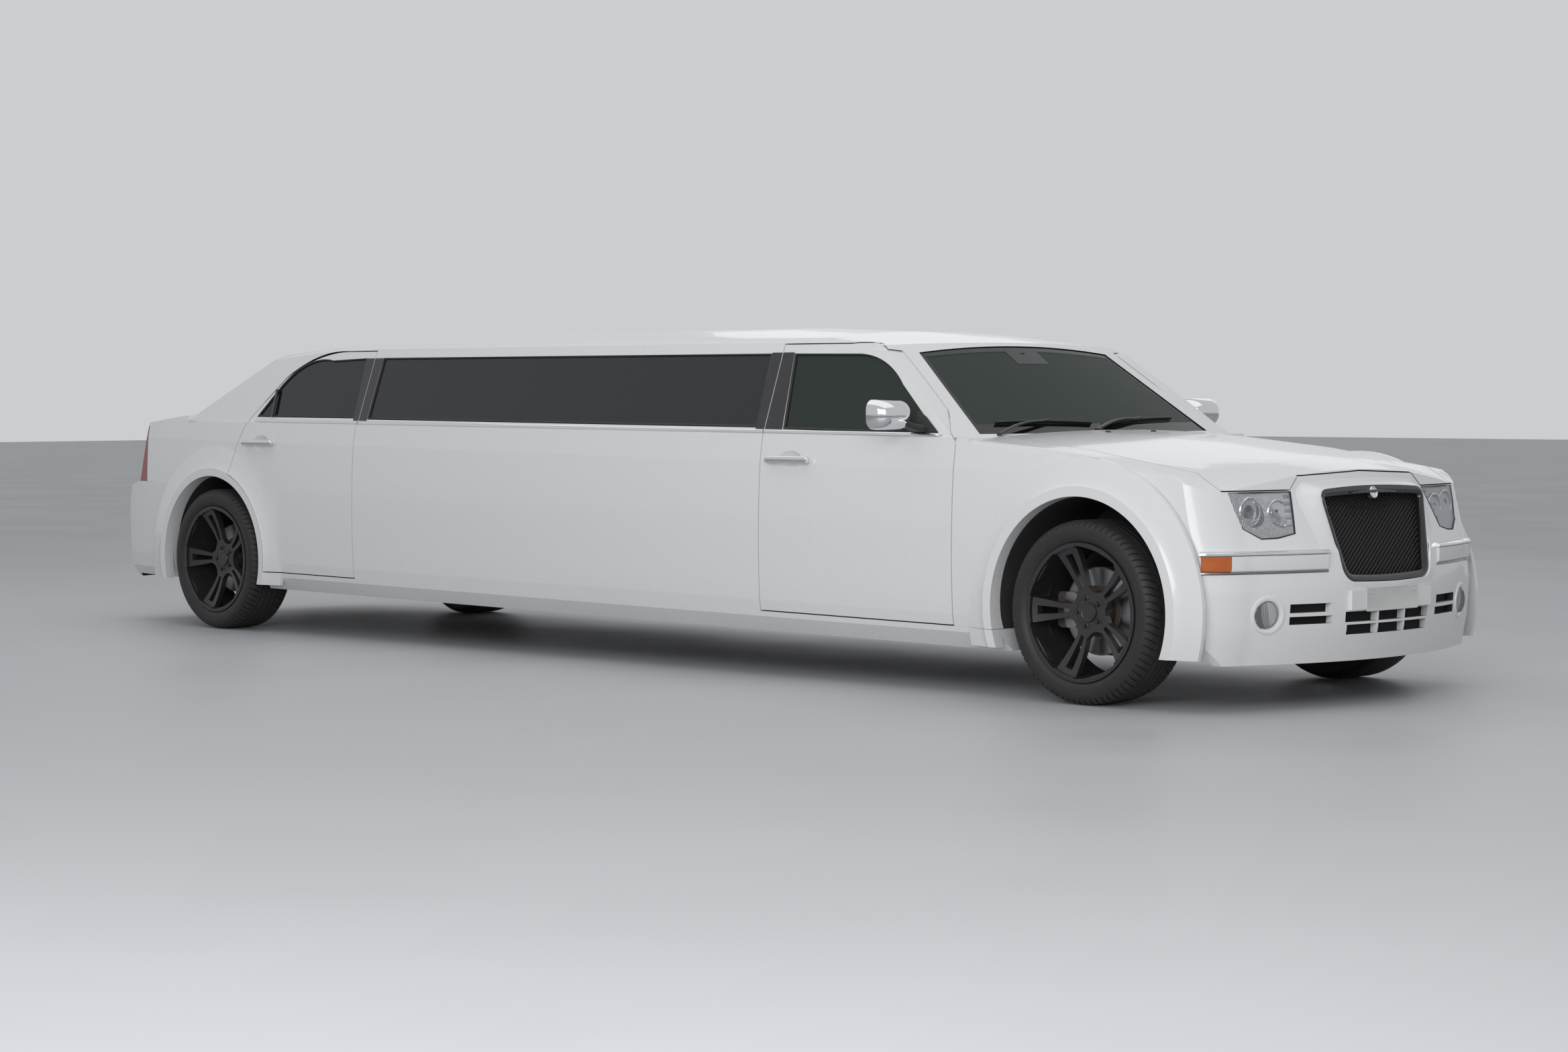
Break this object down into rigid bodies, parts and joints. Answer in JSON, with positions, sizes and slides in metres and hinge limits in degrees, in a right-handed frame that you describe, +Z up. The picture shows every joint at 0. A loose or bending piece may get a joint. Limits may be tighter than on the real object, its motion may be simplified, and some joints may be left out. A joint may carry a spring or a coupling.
{
  "type": "stretch limousine",
  "caption": "Stretch limousine on a four-door saloon base, with opening doors, bonnet and boot, steering and turning wheels.",
  "frame": {"origin": "on the ground, under the middle of the car's length and width", "axes": "+X forward, +Y to the car's left, +Z up"},
  "size_m": [7.6528, 2.212, 1.4938],
  "materials": {
    "paint": "gloss white paint",
    "privacy_glass": "dark tinted glass",
    "clear_glass": "lightly tinted glass",
    "chrome": "bright chrome",
    "grille_black": "gloss black with bright wire",
    "lamp_lens": "clear lamp lens",
    "lamp_inside": "bright reflector",
    "tail_red": "red lamp lens",
    "tyre": "black rubber",
    "rim": "satin black",
    "steel": "bare and painted steel",
    "underbody": "black underseal",
    "exhaust": "stainless steel",
    "tank": "moulded plastic",
    "trim": "dark moulded trim",
    "leather": "dark leather",
    "engine": "cast metal"
  },
  "bodies": {
    "body": {"roof": "paint", "windscreen_frame": "paint", "side_panels": "paint", "sills": "paint", "front_fenders": "paint", "quarter_panels": "paint", "front_bumper": "paint", "rear_bumper": "paint", "windscreen": "clear_glass", "rear_window": "privacy_glass", "mid_windows": "privacy_glass", "grille": "grille_black", "headlamp_lenses": "lamp_lens", "headlamp_housings": "lamp_inside", "fog_lamps": "lamp_inside", "tail_lamps": "tail_red", "floor_pan": "underbody", "front_frame": "underbody", "engine_block": "engine", "driveline": "steel", "exhaust": "exhaust", "fuel_tank": "tank", "front_suspension": "steel", "rear_suspension": "steel", "dashboard": "trim", "steering_wheel": "trim", "front_seats": "leather", "partition": "trim", "lounge_seats": "leather"},
    "front_door_right": {"front_door_right": "paint", "front_glass_right": "clear_glass", "mirror_right": "chrome"},
    "wheel_front_right": {"tyre_front_right": "tyre", "rim_front_right": "rim"},
    "front_door_left": {"front_door_left": "paint", "front_glass_left": "clear_glass", "mirror_left": "chrome"},
    "wheel_front_left": {"tyre_front_left": "tyre", "rim_front_left": "rim"},
    "rear_door_right": {"rear_door_right": "paint", "rear_glass_right": "privacy_glass"},
    "wheel_rear_right": {"tyre_rear_right": "tyre", "rim_rear_right": "rim"},
    "rear_door_left": {"rear_door_left": "paint", "rear_glass_left": "privacy_glass"},
    "wheel_rear_left": {"tyre_rear_left": "tyre", "rim_rear_left": "rim"},
    "knuckle_right": {"knuckle_right": "steel"},
    "knuckle_left": {"knuckle_left": "steel"},
    "bonnet": {"bonnet": "paint"},
    "boot_lid": {"boot_lid": "paint"}
  },
  "joints": [
    {"name": "front_door_right_hinge", "type": "hinge", "parent": "body", "child": "front_door_right", "pos_m": [2.3535, -0.918, 0.6], "axis": [0, 0, 1], "range_deg": [0, 65]},
    {"name": "front_door_left_hinge", "type": "hinge", "parent": "body", "child": "front_door_left", "pos_m": [2.3535, 0.918, 0.6], "axis": [0, 0, -1], "range_deg": [0, 65]},
    {"name": "rear_door_right_hinge", "type": "hinge", "parent": "body", "child": "rear_door_right", "pos_m": [-1.6035, -0.918, 0.6], "axis": [0, 0, 1], "range_deg": [0, 65]},
    {"name": "rear_door_left_hinge", "type": "hinge", "parent": "body", "child": "rear_door_left", "pos_m": [-1.6035, 0.918, 0.6], "axis": [0, 0, -1], "range_deg": [0, 65]},
    {"name": "bonnet_hinge", "type": "hinge", "parent": "body", "child": "bonnet", "pos_m": [2.4205, 0, 1.05], "axis": [0, -1, 0], "range_deg": [0, 50]},
    {"name": "boot_lid_hinge", "type": "hinge", "parent": "body", "child": "boot_lid", "pos_m": [-3.0695, 0, 1.126], "axis": [0, 1, 0], "range_deg": [0, 75]},
    {"name": "steer_right", "type": "hinge", "parent": "body", "child": "knuckle_right", "pos_m": [3.0205, -0.742, 0.357], "axis": [0, 0, 1], "range_deg": [-32, 32]},
    {"name": "steer_left", "type": "hinge", "parent": "body", "child": "knuckle_left", "pos_m": [3.0205, 0.742, 0.357], "axis": [0, 0, 1], "range_deg": [-32, 32]},
    {"name": "spin_front_right", "type": "hinge", "parent": "knuckle_right", "child": "wheel_front_right", "pos_m": [3.0205, -0.8005, 0.357], "axis": [0, 1, 0], "continuous": true},
    {"name": "spin_front_left", "type": "hinge", "parent": "knuckle_left", "child": "wheel_front_left", "pos_m": [3.0205, 0.8005, 0.357], "axis": [0, 1, 0], "continuous": true},
    {"name": "spin_rear_right", "type": "hinge", "parent": "body", "child": "wheel_rear_right", "pos_m": [-2.7705, -0.8005, 0.357], "axis": [0, 1, 0], "continuous": true},
    {"name": "spin_rear_left", "type": "hinge", "parent": "body", "child": "wheel_rear_left", "pos_m": [-2.7705, 0.8005, 0.357], "axis": [0, 1, 0], "continuous": true}
  ],
  "couplings": [
    {"joint": "steer_left", "follows": "steer_right", "ratio": 1}
  ]
}
